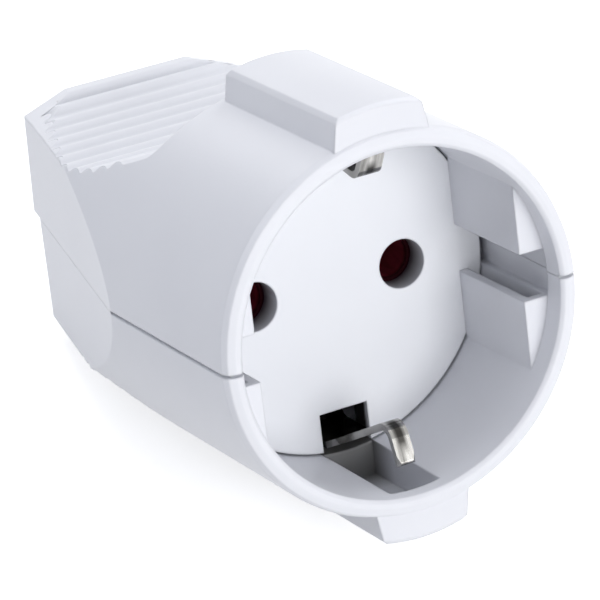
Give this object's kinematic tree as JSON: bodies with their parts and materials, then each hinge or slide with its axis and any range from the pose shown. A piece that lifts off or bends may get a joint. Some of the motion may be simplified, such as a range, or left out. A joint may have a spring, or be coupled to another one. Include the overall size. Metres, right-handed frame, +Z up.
{
  "type": "schuko socket",
  "caption": "In-line schuko socket: a round plug recess with sprung earth contacts, held in a split housing with a tapered, ribbed grip and a clamped cable entry.",
  "frame": {"origin": "under the middle of the part's box, on the surface it lies on", "axes": "+X to the right as seen from the mouth, +Y from the mouth towards the cable end, +Z up; the socket's own axis lies in the YZ plane and falls by 15.91 degrees towards the cable, because the part rests on the back edge of its lower ear and on the lower lip of its grip"},
  "size_m": [0.0444, 0.0722, 0.0557],
  "materials": {
    "housing": "satin white moulding",
    "carrier": "satin white moulding",
    "clamp": "white moulding",
    "contact_brass": "plain stamped",
    "plated_strip": "bright plated",
    "steel": "zinc plated"
  },
  "bodies": {
    "root": {"upper_shell": "housing", "lower_shell": "housing", "contact_carrier": "carrier", "left_pin_sleeve": "contact_brass", "right_pin_sleeve": "contact_brass", "left_sleeve_spring": "steel", "right_sleeve_spring": "steel", "left_terminal_block": "contact_brass", "right_terminal_block": "contact_brass", "earth_strap": "plated_strip", "earth_clamp_plate": "plated_strip", "cord_clamp_bar": "clamp", "pin_terminal_screws": "steel", "earth_terminal_screw": "steel", "cord_clamp_screws": "steel", "housing_screws": "steel"}
  },
  "joints": []
}
